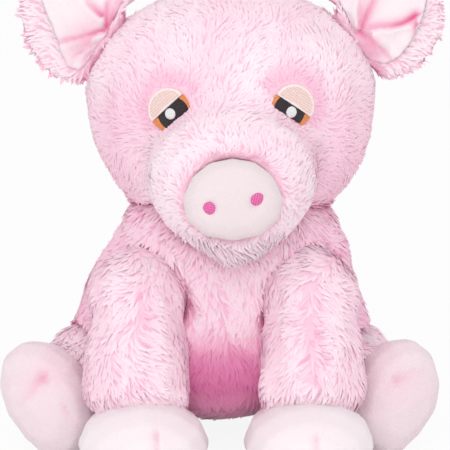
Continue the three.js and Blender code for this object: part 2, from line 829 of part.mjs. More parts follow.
// Where each member turns, in the frame's own millimetres, with its axis and range in degrees.
function jointAt(point, axis, range) {
  const at = point.clone().sub(new THREE.Vector3(centre.x, centre.y, box.min.z));
  return { at: at.toArray(), axis: axis.toArray(), range };
}
pig.userData.joints = {
  head: jointAt(neckPoint, Z_AXIS, headRange),
  left_ear: jointAt(ears.left.joint, ears.left.axis, earRange),
  right_ear: jointAt(ears.right.joint, ears.right.axis, earRange),
  left_front_leg: jointAt(limbs.left_front.joint, liftAxis, [0, frontLiftDegrees]),
  right_front_leg: jointAt(limbs.right_front.joint, liftAxis, [0, frontLiftDegrees]),
  left_hind_leg: jointAt(limbs.left_hind.joint, liftAxis, [0, hindLiftDegrees]),
  right_hind_leg: jointAt(limbs.right_hind.joint, liftAxis, [0, hindLiftDegrees]),
  tail: jointAt(tailRoot, Z_AXIS, tailRange),
};

export default pig;
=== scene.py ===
"""A sitting plush pig: pink long-pile plush, cream velour feet, snout and ear linings."""
import json
import math
from collections import namedtuple

import bmesh
import bpy
import numpy as np
from mathutils import Matrix, Vector
from mathutils.bvhtree import BVHTree


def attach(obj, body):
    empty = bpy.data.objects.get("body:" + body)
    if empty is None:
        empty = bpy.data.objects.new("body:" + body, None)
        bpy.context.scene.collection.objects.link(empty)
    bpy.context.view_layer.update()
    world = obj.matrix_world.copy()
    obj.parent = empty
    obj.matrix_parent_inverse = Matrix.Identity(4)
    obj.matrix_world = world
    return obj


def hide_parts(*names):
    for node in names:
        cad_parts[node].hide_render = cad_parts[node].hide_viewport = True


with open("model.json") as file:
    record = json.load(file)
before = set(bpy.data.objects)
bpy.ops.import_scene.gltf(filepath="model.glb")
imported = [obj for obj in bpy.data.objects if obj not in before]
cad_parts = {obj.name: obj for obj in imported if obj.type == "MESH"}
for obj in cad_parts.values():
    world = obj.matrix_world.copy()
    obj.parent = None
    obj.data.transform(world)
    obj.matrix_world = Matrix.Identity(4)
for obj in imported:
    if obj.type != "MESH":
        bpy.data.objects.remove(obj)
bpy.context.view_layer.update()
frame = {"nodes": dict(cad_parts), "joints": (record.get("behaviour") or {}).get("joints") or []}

scene = bpy.context.scene
MM = 0.001
chance = np.random.default_rng(11)


# Studio: the toy sits on a white floor in soft white light from all round, with one
# broad lamp high in front of it. The camera looks from 12 degrees above, 1.35 m away,
# through a long lens, as a shop photo is taken.
class Socket:
    """A shader socket, so that shader sums can be written as Python sums."""

    def __init__(self, tree, end):
        self.tree, self.end = tree, end

    def node(self, kind, settings=None, out=0, **inputs):
        """Adds a node with its settings and its inputs, by name or as i0, i1, and gives an output."""
        made = self.tree.nodes.new(kind)
        for key, value in (settings or {}).items():
            if key == "stops":
                ramp = made.color_ramp.elements
                while len(ramp) < len(value):
                    ramp.new(0.5)
                for stop, (place, colour) in zip(ramp, value):
                    stop.position = place
                    stop.color = colour
            else:
                setattr(made, key, value)
        for key, value in inputs.items():
            slot = int(key[1:]) if key[0] == "i" and key[1:].isdigit() else key.replace("_", " ")
            target = made.inputs[slot]
            if isinstance(value, Socket):
                self.tree.links.new(value.end, target)
            else:
                target.default_value = value
        return Socket(self.tree, made.outputs[out])

    def sum(self, operation, other=0.0, swap=False):
        pair = (other, self) if swap else (self, other)
        return self.node("ShaderNodeMath", {"operation": operation}, i0=pair[0], i1=pair[1])

    def __add__(self, other):
        return self.sum("ADD", other)

    def __radd__(self, other):
        return self.sum("ADD", other)

    def __sub__(self, other):
        return self.sum("SUBTRACT", other)

    def __rsub__(self, other):
        return self.sum("SUBTRACT", other, True)

    def __mul__(self, other):
        return self.sum("MULTIPLY", other)

    def __rmul__(self, other):
        return self.sum("MULTIPLY", other)

    def __pow__(self, other):
        return self.sum("POWER", other)

    def clamp(self):
        return self.node("ShaderNodeClamp", Value=self)

    def mix(self, low, high):
        return self.node("ShaderNodeMix", {"data_type": "RGBA"}, 2, i0=self, i6=low, i7=high)

    def part(self, index):
        return self.node("ShaderNodeSeparateXYZ", None, index, Vector=self)


def paint(code):
    """A colour as it is seen, given as six hex digits, for a shader socket."""
    seen = [int(code[start : start + 2], 16) / 255 for start in (0, 2, 4)]
    linear = [((value + 0.055) / 1.055) ** 2.4 if value > 0.04 else value / 12.92 for value in seen]
    return (*linear, 1.0)


def finish(name, roughness, build, sheen=0.0, bump=0.0):
    """A cloth or thread material. build gets a socket and returns colour and height."""
    material = bpy.data.materials.new(name)
    material.use_nodes = True
    tree = material.node_tree
    shader = tree.nodes["Principled BSDF"]
    start = Socket(tree, None)
    colour, height = build(start)
    tree.links.new(colour.end, shader.inputs["Base Color"])
    shader.inputs["Roughness"].default_value = roughness
    shader.inputs["Specular IOR Level"].default_value = 0.15
    shader.inputs["Sheen Weight"].default_value = sheen
    shader.inputs["Sheen Roughness"].default_value = 0.6
    if height is not None:
        lifted = start.node("ShaderNodeBump", Height=height, Distance=bump, Strength=1.0)
        tree.links.new(lifted.end, shader.inputs["Normal"])
    return material


aim = Vector((0.0012, -0.020, 0.1394))
turn, rise, away = math.radians(-2), math.radians(12), 1.35
back = Vector((math.sin(turn) * math.cos(rise), -math.cos(turn) * math.cos(rise), math.sin(rise)))
place = Vector((0, -0.020, 0.140)) + back * away
camera = bpy.data.objects.new("camera", bpy.data.cameras.new("camera"))
camera.data.lens, camera.data.sensor_width = 180, 36
camera.location = place
camera.rotation_euler = (aim - place).to_track_quat("-Z", "Y").to_euler()
scene.collection.objects.link(camera)
scene.camera = camera
scene.view_settings.view_transform = "Standard"


def white_for_camera(start):
    """1 where a ray comes from the camera or off something glossy or clear."""
    kinds = ("Is Camera Ray", "Is Glossy Ray", "Is Transmission Ray")
    rays = [start.node("ShaderNodeLightPath", None, kind) for kind in kinds]
    return (rays[0] + rays[1] + rays[2]).clamp()


world = bpy.data.worlds.new("studio")
world.use_nodes = True
scene.world = world
sky = Socket(world.node_tree, None)
shown = white_for_camera(sky)
daylight = world.node_tree.nodes["Background"]
daylight.inputs["Color"].default_value = (1, 1, 1, 1)
world.node_tree.links.new((shown * 0.2 + 0.8).end, daylight.inputs["Strength"])

lamp = bpy.data.objects.new("key_lamp", bpy.data.lights.new("key_lamp", "AREA"))
lamp.data.size = 1.1
lamp.data.energy = 10.8
lamp.location = (-0.2, -1.7, 1.05)
lamp.rotation_euler = (Vector((0, 0, 0.15)) - lamp.location).to_track_quat("-Z", "Y").to_euler()
scene.collection.objects.link(lamp)

floor_bm = bmesh.new()
bmesh.ops.create_grid(floor_bm, x_segments=1, y_segments=1, size=4)
floor = bpy.data.objects.new("floor", bpy.data.meshes.new("floor"))
floor_bm.to_mesh(floor.data)
floor_bm.free()
scene.collection.objects.link(floor)
floor_paint = bpy.data.materials.new("floor")
floor_paint.use_nodes = True
floor_tree = floor_paint.node_tree
paper = floor_tree.nodes["Principled BSDF"]
paper.inputs["Base Color"].default_value = (0.93, 0.93, 0.93, 1)
paper.inputs["Roughness"].default_value = 0.9
matt = Socket(floor_tree, paper.outputs[0])
glow = matt.node("ShaderNodeEmission")
lit_paper = matt.node("ShaderNodeMixShader", i0=white_for_camera(matt) * 0.9, i1=matt, i2=glow)
floor_tree.links.new(lit_paper.end, floor_tree.nodes["Material Output"].inputs[0])
floor.data.materials.append(floor_paint)


# Torso: a pear-shaped bag of long-pile plush, cut in panels, sewn and stuffed with
# loose polyester fibre. The cloth's backing lies under the pile, which gives the outline.
# Its fur is planted after the head, because the head and legs press it flat.
pile_depth = 2.4 * MM
seam_reach = 9 * MM


def stuffed_skin(name, nodes, voxel, inset, rounds, body, beside=(), pushes=()):
    """The cloth of one stuffed member: its CAD nodes fused, rounded and drawn in.

    It is smoothed for a number of rounds and drawn in by the inset, but less where it is sewn
    to the nodes beside it, so that no gap opens there. Each push is a place, how the cloth
    moves there and how far round it follows, all in mm.
    """
    bm = bmesh.new()
    for node in nodes:
        bm.from_mesh(frame["nodes"][node].data)
    bmesh.ops.remove_doubles(bm, verts=bm.verts, dist=1e-5)
    mesh = bpy.data.meshes.new(name)
    bm.to_mesh(mesh)
    bm.free()
    skin = bpy.data.objects.new(name, mesh)
    scene.collection.objects.link(skin)
    fuse = skin.modifiers.new("fuse", "REMESH")
    fuse.mode, fuse.voxel_size = "VOXEL", voxel
    soften = skin.modifiers.new("soften", "SMOOTH")
    soften.factor, soften.iterations = 0.5, rounds
    graph = bpy.context.evaluated_depsgraph_get()
    skin.data = bpy.data.meshes.new_from_object(skin.evaluated_get(graph))
    skin.modifiers.clear()
    if inset:
        co, normal = points_of(skin)
        depth = np.full(len(co), float(inset))
        for neighbour in beside:
            near = shape_tree(frame["nodes"][neighbour])
            gap = np.array([near.find_nearest(Vector(point))[3] for point in co])
            depth = np.minimum(depth, inset * np.clip(0.1 + (gap - 1 * MM) / seam_reach, 0, 1))
        set_points(skin, co - normal * depth[:, None])
    for spot, shift, spread in pushes:
        co = points_of(skin)[0]
        near = np.exp(-(((co - np.array(spot) * MM) ** 2).sum(1)) / (spread * MM) ** 2)
        set_points(skin, co + near[:, None] * np.array(shift) * MM)
    skin.data.shade_smooth()
    skin.data.name = name
    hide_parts(*nodes)
    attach(skin, body)
    return skin


def shape_tree(piece):
    bm = bmesh.new()
    bm.from_mesh(piece.data)
    tree = BVHTree.FromBMesh(bm)
    bm.free()
    return tree


def points_of(piece):
    count = len(piece.data.vertices)
    co, normal = np.empty(count * 3, np.float32), np.empty(count * 3, np.float32)
    piece.data.vertices.foreach_get("co", co)
    piece.data.vertex_normals.foreach_get("vector", normal)
    return co.reshape(-1, 3).astype(float), normal.reshape(-1, 3).astype(float)


def set_points(piece, co):
    piece.data.vertices.foreach_set("co", co.astype(np.float32).ravel())
    piece.data.update()


def cloth_skin(start):
    where = start.node("ShaderNodeTexCoord", None, 3)
    clouds = start.node("ShaderNodeTexNoise", None, 0, Vector=where, Scale=60.0, Detail=3.0)
    # The Tone attribute, set on the torso, holds its tone with painted shade: rosy in the creases,
    # deep pink on the shaded belly.
    tone = start.node("ShaderNodeAttribute", {"attribute_name": "Tone"}, 2)
    colour = (tone * 2.0).clamp().mix(clouds.mix(paint("fbc6db"), paint("fdd9e7")), paint("f9b9d4"))
    return (tone * 2.0 - 1.0).clamp().mix(colour, paint("e672ae")), clouds


under_pile = finish("plush_backing", 0.95, cloth_skin, bump=1 * MM)

limb_names = [f"{side}_{end}_leg" for side in ("left", "right") for end in ("front", "hind")]
leg_covers = [f"{limb}_cover" for limb in limb_names]
torso_skin = stuffed_skin(
    "torso_skin",
    ["torso_cover", "torso_stuffing"],
    voxel=3.5 * MM,
    inset=pile_depth,
    rounds=8,
    body="torso",
    beside=["head_cover", *leg_covers],
    pushes=[
        ((68, -5, 125), (8, 0, 0), 26),
        ((-66, 3, 124), (-4.5, 0, 0), 24),
        ((-84, -5, 94), (-6.5, 0, 0), 23),
        ((87, -6, 87), (7, 0, -1.5), 19),
        ((-3, -35, 20), (0, -1, -5), 22),
    ],
)
torso_skin.data.materials.append(under_pile)


# A lock's rings: their place along it, their width, and how high over the cloth, in
# millimetres, they may lie at least and at most.
lock_rings = ((0.42, 1.05, 0.3, 1.4), (0.76, 0.72, 0.5, 1.7), (1.0, 0.05, 0.6, 2.1))


def lock_template():
    """One lock as a ridged taper, open where it roots in the cloth: x across, y up, z along."""
    bm = bmesh.new()
    bmesh.ops.create_circle(bm, cap_ends=True, segments=3, radius=1)
    previous = 1.0
    for height, width, *_ in lock_rings:
        top = max(bm.faces, key=lambda face: face.calc_center_median().z)
        grown = bmesh.ops.extrude_face_region(bm, geom=[top])
        fresh = [g for g in grown["geom"] if isinstance(g, bmesh.types.BMVert)]
        bmesh.ops.delete(bm, geom=[top], context="FACES_ONLY")
        for vert in fresh:
            vert.co.z = height
            vert.co.x *= width / previous
            vert.co.y *= width / previous
        previous = width
    bmesh.ops.pointmerge(bm, verts=fresh, merge_co=Vector((0, 0, 1)))
    bmesh.ops.triangulate(bm, faces=bm.faces)
    bmesh.ops.recalc_face_normals(bm, faces=bm.faces)
    bm.verts.index_update()
    co = np.array([vert.co for vert in bm.verts])
    faces = np.array([[vert.index for vert in face.verts] for face in bm.faces])
    bm.free()
    return co, faces


lock_points, lock_faces = lock_template()


def waves(points, size, seed):
    """Smooth random values in three channels, about -1 to 1, that change over a given size."""
    dice = np.random.default_rng(seed)
    total = np.zeros((len(points), 3))
    for _ in range(5):
        ways = dice.normal(size=(3, 3)) / size * 1.8
        total += np.sin(points @ ways.T + dice.uniform(0, 6.28, 3))
    return total / 2.2


def is_inside(tree, points):
    """A ray from a point inside a closed skin crosses it an odd number of times."""
    flags = np.zeros(len(points), bool)
    up = Vector((0.05, 0.03, 1)).normalized()
    for index, point in enumerate(points):
        start, crossed = Vector(point), 0
        while crossed < 12:
            found = tree.ray_cast(start, up)[0]
            if found is None:
                break
            start, crossed = found + up * 1e-5, crossed + 1
        flags[index] = crossed % 2 == 1
    return flags


def unit(vectors):
    return vectors / np.maximum(np.linalg.norm(vectors, axis=1, keepdims=True), 1e-9)


def scattered(skin, spacing):
    """Points spread over a skin, at most one in each cell of the spacing, and normals there."""
    mesh = skin.data
    mesh.calc_loop_triangles()
    co, normal = points_of(skin)
    corners = np.empty(len(mesh.loop_triangles) * 3, np.int32)
    mesh.loop_triangles.foreach_get("vertices", corners)
    corners = corners.reshape(-1, 3)
    a, b, c = co[corners[:, 0]], co[corners[:, 1]], co[corners[:, 2]]
    area = np.linalg.norm(np.cross(b - a, c - a), axis=1) / 2
    count = int(area.sum() / spacing**2 * 4)
    chosen = chance.choice(len(corners), count, p=area / area.sum())
    u, v = chance.random(count), chance.random(count)
    flip = u + v > 1
    u[flip], v[flip] = 1 - u[flip], 1 - v[flip]
    weights = np.stack([1 - u - v, u, v], 1)[:, :, None]
    points = (co[corners[chosen]] * weights).sum(1)
    normals = unit((normal[corners[chosen]] * weights).sum(1))
    cells = np.floor(points / spacing).astype(np.int64)
    cell_numbers = cells @ np.array([1, 4096, 16777216])
    first = np.unique(cell_numbers, return_index=True)[1]
    return points[first], normals[first]


def lay_down(centre, skin, free):
    """Moves the middles of the locks' rings to between their least and most height."""
    skin_tree = shape_tree(skin)
    for level, _, least, most in lock_rings:
        ring = np.flatnonzero(np.abs(lock_points[:, 2] - level) < 0.01)
        for index, point in enumerate(centre[:, ring[0]]):
            near, outward = skin_tree.find_nearest(Vector(point))[:2]
            rise = (Vector(point) - near).dot(outward)
            kept = min(max(rise, least * MM), most * free[index] * MM)
            centre[index, ring] += np.array(outward) * (kept - rise)


def sheet_places(number, faces):
    """Each lock's own strip on the sheet that its colours are baked to, corner by corner."""
    columns = math.ceil(math.sqrt(number))
    along = (np.arange(number) % columns)[:, None] + 0.08 + 0.84 * lock_points[:, 2][None, :]
    beside = (np.arange(number) // columns)[:, None] + 0.5 + 0.38 * lock_points[:, 0][None, :]
    sheet = np.stack([along, beside], 2).reshape(-1, 2) / columns
    return sheet[faces.ravel()].astype(np.float32).ravel()


def pile_shading(made, places, faces, normals, lean):
    """Normals of the locks' corners: a lock's top takes the light as the cloth below it does."""
    own = np.empty(places.size, np.float32)
    made.vertex_normals.foreach_get("vector", own)
    own = own.reshape(-1, 3)[faces].reshape(len(places), len(lock_faces), 3, 3)
    tops = lock_points[lock_faces]
    tops = np.cross(tops[:, 1] - tops[:, 0], tops[:, 2] - tops[:, 0])[:, 1] > 0
    corner = places[:, lock_faces]
    flat = np.cross(corner[:, :, 1] - corner[:, :, 0], corner[:, :, 2] - corner[:, :, 0])
    flat = unit(flat.reshape(-1, 3)).reshape(flat.shape)
    own = np.where(tops[None, :, None, None], own, flat[:, :, None, :])
    share = np.where(tops, 0.94, 0.85 * any(lean))[None, :, None, None]
    soft = share * unit(normals + np.array(lean))[:, None, None, :] + (1 - share) * own
    return unit(soft.reshape(-1, 3))


def plant_pile(name, skin, body, spacing, comb, covers, keep=None, loose=1.0, lean=(0, 0, 0)):
    """Locks of pile on a skin, where keep allows and none of the covering skins lies over it.

    comb gives each lock's way, length, lift, width and tone. loose lets the locks rise
    further over the cloth, and lean turns their shading to a side.
    """
    points, normals = scattered(skin, spacing)
    if keep is not None:
        stays = keep(points, normals)
        points, normals = points[stays], normals[stays]
    for other in covers:
        outside = ~is_inside(other, points + normals * 1.2 * MM)
        points, normals = points[outside], normals[outside]
    way, length, lift, width, tone = comb(points, normals)
    number = len(points)
    free = loose(points) if callable(loose) else np.full(number, float(loose))
    way = unit(way - normals * (way * normals).sum(1, keepdims=True))
    across = np.cross(normals, way)
    swirl = 0.5 * waves(points, 16 * MM, 3)[:, 0] + chance.normal(0, 0.16, number)
    way = way * np.cos(swirl)[:, None] + across * np.sin(swirl)[:, None]
    across = np.cross(normals, way)
    length = length * (1 + 0.18 * waves(points, 9 * MM, 5)[:, 1]) * chance.uniform(0.8, 1.2, number)
    lift = lift * (1 + 0.3 * waves(points, 11 * MM, 8)[:, 2]) * chance.uniform(0.7, 1.3, number)
    curl = chance.normal(0, 0.15, number)
    width = width * chance.uniform(0.75, 1.25, number)
    # Each lock leaves the cloth at a slant, bends over along it and curls to one side.
    t = lock_points[:, 2][None, :]
    forward = 0.42 * t + 0.5 * t**2
    upward = lift[:, None] * (1.6 * t - 0.85 * t**2)
    sideways = curl[:, None] * t**2
    size = length[:, None]
    centre = (
        points[:, None, :]
        - normals[:, None, :] * (0.5 * MM * (1 - t))[:, :, None]
        + way[:, None, :] * (forward * size)[:, :, None]
        + normals[:, None, :] * (upward * size)[:, :, None]
        + across[:, None, :] * (sideways * size)[:, :, None]
    )
    lay_down(centre, skin, free)
    slope = lift[:, None] * (1.6 - 1.7 * t) / (0.42 + t)
    top = normals[:, None, :] - way[:, None, :] * slope[:, :, None]
    top /= np.linalg.norm(top, axis=2, keepdims=True)
    wide = width[:, None]
    places = (
        centre
        + across[:, None, :] * (lock_points[:, 0][None, :] * wide)[:, :, None]
        + top * (lock_points[:, 1][None, :] * wide * 0.15)[:, :, None]
    )
    first_corner = (np.arange(number) * len(lock_points))[:, None, None]
    faces = (lock_faces[None] + first_corner).reshape(-1, 3)
    made = bpy.data.meshes.new(name)
    made.vertices.add(number * len(lock_points))
    made.vertices.foreach_set("co", places.astype(np.float32).ravel())
    made.loops.add(faces.size)
    made.loops.foreach_set("vertex_index", faces.ravel().astype(np.int32))
    made.polygons.add(len(faces))
    made.polygons.foreach_set("loop_start", (np.arange(len(faces)) * 3).astype(np.int32))
    made.update(calc_edges=True)
    facts = np.empty((number, len(lock_points), 4), np.float32)
    facts[:, :, 0] = t
    facts[:, :, 1] = chance.random(number)[:, None]
    # Each lock's undersides and edges are a little rosier: painted shade, so that the shade between
    # locks reads pink.
    facts[:, :, 2] = tone[:, None] + 0.13 * (lock_points[:, 1] < 0)
    facts[:, :, 3] = 1
    made.attributes.new("Lock", "FLOAT_COLOR", "POINT").data.foreach_set("color", facts.ravel())
    made.uv_layers.new(name="OFBake").data.foreach_set("uv", sheet_places(number, faces))
    made.shade_smooth()
    made.normals_split_custom_set(pile_shading(made, places, faces, normals, lean))
    made.materials.append(pink_pile)
    piece = bpy.data.objects.new(name, made)
    scene.collection.objects.link(piece)
    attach(piece, body)


def pile_colour(root, tip, rosy, deep_shade):
    """A lock's colour from its root, pinker as painted shade deep in the pile, to its tip, turned to
    rosy and then to a deep pink by its tone, which holds painted shade.
    """
    def build(start):
        lock = start.node("ShaderNodeAttribute", {"attribute_name": "Lock"}, 1)
        along, dice, tone = lock.part(0), lock.part(1), lock.part(2)
        colour = (along**0.8).clamp().mix(paint(root), paint(tip))
        colour = (dice * 0.3).mix(colour, paint("fddfec"))
        colour = (tone * 2.0).clamp().mix(colour, paint(rosy))
        return (tone * 2.0 - 1.0).clamp().mix(colour, paint(deep_shade)), None

    return build


# Each lock's root is pinker than its tip: painted shade deep in the pile.
pink_pile = finish("pink_pile", 0.8, pile_colour("fcd3e4", "fff7fb", "f9b9d4", "e672ae"))


def steady(number, length, lift, width, tone=0.0):
    """The same length, lift, width and tone for every lock; lengths and widths are in mm."""
    return [np.full(number, value) for value in (length * MM, lift, width * MM, tone)]


def flecks(points, share):
    """Single locks at random, tinted rosy as painted shade where the pile parts."""
    return 0.34 * (chance.random(len(points)) < share) * chance.random(len(points))


def grade(values, none, full):
    """Rises evenly from 0, where a length is none, to 1, where it is full; both in mm."""
    return np.clip((values / MM - none) / (full - none), 0, 1)


def shoulder_edge(points):
    """1 on the torso beside the top of a front leg, where the pile runs on over the leg."""
    return grade(points[:, 2], 100, 115) * squeezed(points, leg_trees, 8 * MM)


def armpit_crease_shade(points):
    """Painted shade in the creases against the legs: 1 in the lower creases, 0.1 above the armpits,
    where the fur runs on over the seam.
    """
    return np.maximum(grade(points[:, 2], 120, 100), 0.1)


# The belly between the front legs lies in shadow, painted as deep pink shade: heights in mm and the
# tone there.
belly_shade_heights = [18, 30, 48, 62, 73, 80, 92]
belly_shade_tones = [0.12, 0.52, 0.84, 0.82, 0.65, 0.4, 0]


def torso_comb(points, normals):
    """Down the body, away from the chest's middle line, in tangled clumps."""
    way = np.zeros_like(points)
    way[:, 0] = np.clip(points[:, 0] / (60 * MM), -1, 1) * 0.45
    way[:, 2] = -1
    way += 0.5 * waves(points, 30 * MM, 21)
    length, lift, width, _ = steady(len(points), 10.0, 0.055, 1.3)
    # Painted shade: deep pink on the belly between the front legs, which lies in shadow.
    belly_shade = np.interp(points[:, 2] / MM, belly_shade_heights, belly_shade_tones)
    belly_shade *= grade(points[:, 1], 0, -20) * grade(abs(points[:, 0]), 45, 33)
    # Painted shade: the flanks, turned away from the light, are rosier.
    side = grade(abs(points[:, 0]), 30, 80)
    tone = np.maximum(belly_shade, 0.11 + 0.15 * side + flecks(points, 0.25))
    below = armpit_crease_shade(points)
    # Painted shade in the creases against the legs.
    tone = np.maximum(tone, 0.75 * below * squeezed(points, leg_trees, 7 * MM) ** 1.5)
    lift = lift + 0.3 * shoulder_edge(points)
    # Painted shade in the crease under the head.
    return way, length, lift, width, np.maximum(tone, 0.32 * squeezed(points, [head_tree], 12 * MM))


# Legs: each is a column of the same plush, with a hoof of short cream velour sewn to
# its end: a ball in front, a paddle behind. One stuffing fills both. The pushes, in mm,
# press cuffs, thighs and feet to shape.
limbs = {}
leg_pushes = {
    "right_front_leg": [((-20, -82, 52), (6, 0, 0), 15), ((-84, -78, 50), (-4, 0, 0), 15)],
    "left_front_leg": [((20, -84, 52), (-8, 0, 0), 15), ((82, -78, 50), (3.5, 0, 0), 15)],
    "left_hind_leg": [((98, -8, 74), (-6, 0, -7), 19)],
    "right_hind_leg": [((-95, -10, 68), (0, 0, -5.5), 18)],
}
foot_pushes = {
    "right_hind_leg": [((-122, -35, 62), (-5.2, 0, 1.2), 27), ((-118, -35, 12), (3, 0, 0), 16)],
    "left_hind_leg": [((118, -40, 12), (-3, 0, 0), 16)],
    "right_front_leg": [((-43, -104, 42), (0, 0, 2.2), 24)],
    "left_front_leg": [((50, -104, 42), (0, 0, 1.6), 24)],
}
for side in ("left", "right"):
    for end in ("front", "hind"):
        limb = f"{side}_{end}_leg"
        leg = stuffed_skin(
            f"{limb}_skin",
            [f"{limb}_cover", f"{limb}_stuffing"],
            voxel=3 * MM,
            inset=pile_depth * 0.8,
            rounds=6,
            body=limb,
            beside=["torso_cover", f"{side}_{end}_foot_cover"],
            pushes=leg_pushes[limb],
        )
        leg.data.materials.append(under_pile)
        foot = stuffed_skin(
            f"{side}_{end}_foot",
            [f"{side}_{end}_foot_cover", f"{limb}_stuffing"],
            voxel=1.8 * MM,
            inset=0,
            rounds=7,
            body=limb,
            pushes=foot_pushes[limb],
        )
        limbs[limb] = (leg, foot)


def press_folds(skin, folds, inward=None):
    """Creases in a skin: each a line of places, a depth, a width, a lip on one side and a tint, which
    is painted shade in the crease, wider on its deep side.

    Places, depths, widths and lips are in mm. A crease fades along its line. It is pressed
    the way that inward points, or else straight into the skin.
    """
    co, normal = points_of(skin)
    shade, move = np.zeros(len(co)), np.zeros(len(co))
    for line, depth, width, lip, tint in folds:
        line = np.array(line, float) * MM
        best, side, along = np.full(len(co), 9.0), np.zeros(len(co)), np.zeros(len(co))
        for index, (start, end) in enumerate(zip(line[:-1], line[1:])):
            run = end - start
            share = np.clip((co - start) @ run / (run @ run), 0, 1)
            gap = co - start - share[:, None] * run
            far = np.linalg.norm(gap, axis=1)
            closer = far < best
            best[closer] = far[closer]
            side[closer] = np.sign((gap * np.cross(unit(run[None])[0], normal)).sum(1))[closer]
            along[closer] = ((index + share) / (len(line) - 1))[closer]
        fade = 1 - 0.55 * along
        signed = best * side / (width * MM)
        raised = lip * fade * np.exp(-((signed + 1.7) ** 2) / 1.4)
        move -= depth * fade * np.exp(-(signed**2)) - raised
        # Painted shade in the crease, spread wider on its deep side.
        spread = np.where(side > 0, 2.4, 0.75)
        shade = np.maximum(shade, tint * fade * np.exp(-((signed / spread) ** 2)))
    way = normal if inward is None else -np.array(inward, float)
    set_points(skin, co + way * (move * MM)[:, None])
    tints = skin.data.attributes.new("Fold", "FLOAT", "POINT")
    tints.data.foreach_set("value", shade.astype(np.float32))


# The hoof's slit on each front foot, the cloven dimple on each hind foot, and a seam, each with
# painted shade in it. The last, wide one on each hind foot is a broad valley with its painted shade.
foot_folds = {
    "right_hind_foot": [
        ([(-107.3, -50.1, 53.2), (-115.9, -49.5, 42)], 2.4, 2.6, 0.6, 0.42),
        ([(-107.3, -50.1, 53.2), (-96.7, -48.2, 56.9)], 1.6, 2.4, 0.4, 0.2),
        ([(-95.6, -54.6, 37.8), (-86.4, -51.7, 21.9)], 0.6, 0.9, 0.1, 0.2),
        ([(-107.3, -50.1, 51), (-122, -50, 49)], 2.4, 6, 0, 0.12),
    ],
    "left_hind_foot": [
        ([(102.7, -51.4, 51.4), (114.6, -46.3, 55.5)], 1.9, 2.4, 0.5, 0.3),
        ([(102.7, -51.4, 51.4), (95.4, -53.4, 44.1)], 1.4, 2.2, 0.4, 0.2),
        ([(106, -50, 49), (121, -46, 46)], 2.4, 6, 0, 0.12),
    ],
    "right_front_foot": [
        ([(-40.2, -119, 38.5), (-40.3, -126, 28), (-40.6, -126, 14)], 2.0, 1.5, 0.4, 0.34),
    ],
    "left_front_foot": [
        ([(50.4, -122, 36), (50.4, -127, 26), (50.6, -126, 14)], 1.8, 1.5, 0.4, 0.28),
    ],
}
for leg, foot in limbs.values():
    press_folds(foot, foot_folds[foot.name])


def velour(tint, shade):
    """Short cream nap in clouds of two tints, with pink painted shade where a fold lies."""
    def build(start):
        where = start.node("ShaderNodeTexCoord", None, 3)
        nap = start.node("ShaderNodeTexNoise", None, 0, Vector=where, Scale=1400.0, Detail=2.0)
        clouds = start.node("ShaderNodeTexNoise", None, 0, Vector=where, Scale=45.0, Detail=3.0)
        blend = (clouds * 0.7 + nap * 0.3).clamp()
        fold = start.node("ShaderNodeAttribute", {"attribute_name": "Fold"}, 2)
        # Painted shade in the folds: pink, and deep pink where the fold is deepest.
        colour = (fold * 2.0).clamp().mix(blend.mix(paint(shade), paint(tint)), paint("f8bdd3"))
        return (fold * 2.0 - 1.0).clamp().mix(colour, paint("ee5f95")), nap

    return build


cream_velour = finish("cream_velour", 0.9, velour("fff6f9", "faebf0"), sheen=0.2, bump=0.5 * MM)
# The hind feet take a darker copy of the velour: painted shade, as they face aside from the light.
shaded_velour = finish("shaded_velour", 0.9, velour("fbeaf0", "f4dfe6"), sheen=0.2, bump=0.5 * MM)
for limb, (leg, foot) in limbs.items():
    foot.data.materials.append(shaded_velour if "hind" in limb else cream_velour)


torso_tree = shape_tree(torso_skin)
parting_lines = [[(-47, -65, 111), (-56, -92, 61)], [(48, -65, 113), (50, -92, 66)]]
partings = np.array(parting_lines) * MM


def squeezed(points, trees, reach):
    """1 where cloth is pressed against another skin, down to 0 at a distance from it."""
    gaps = np.full(len(points), reach)
    for near in trees:
        for index, point in enumerate(points):
            found = near.find_nearest(Vector(point), reach)[3]
            if found is not None:
                gaps[index] = min(gaps[index], found)
    return 1 - gaps / reach


def leg_comb(points, normals):
    """Down the leg and away from the parting on its front, with painted shade: rosy along the
    parting, on the sides and against the body.
    """
    way = np.zeros_like(points)
    way[:, 2] = -1
    way += 0.45 * waves(points, 26 * MM, 33)
    length, lift, width, _ = steady(len(points), 9.5, 0.05, 1.3)
    # Painted shade: the leg's sides, turned away from the light, are rosier.
    tone = 0.03 + 0.2 * abs(normals[:, 0]) ** 1.5
    below = armpit_crease_shade(points)
    for start, end in partings:
        run = end - start
        share = np.clip((points - start) @ run / (run @ run), 0, 1)
        gap = points - start - share[:, None] * run
        far = np.linalg.norm(gap, axis=1)
        beside = np.exp(-((far / (9 * MM)) ** 2))
        way += 0.8 * beside[:, None] * unit(gap)
        # Painted shade along each parting, where the pile opens.
        tone = np.maximum(tone, 0.17 * np.exp(-((far / (3 * MM)) ** 2)))
        tone += flecks(points, 0.3) * beside
    # Painted shade in the crease against the torso.
    tone = np.maximum(tone, 0.4 * below * squeezed(points, [torso_tree], 7 * MM) ** 1.5)
    return way, length, lift, width, tone


for limb, (leg, foot) in limbs.items():
    plant_pile(f"{limb}_pile", leg, limb, 2.15 * MM, leg_comb, [torso_tree, shape_tree(foot)])


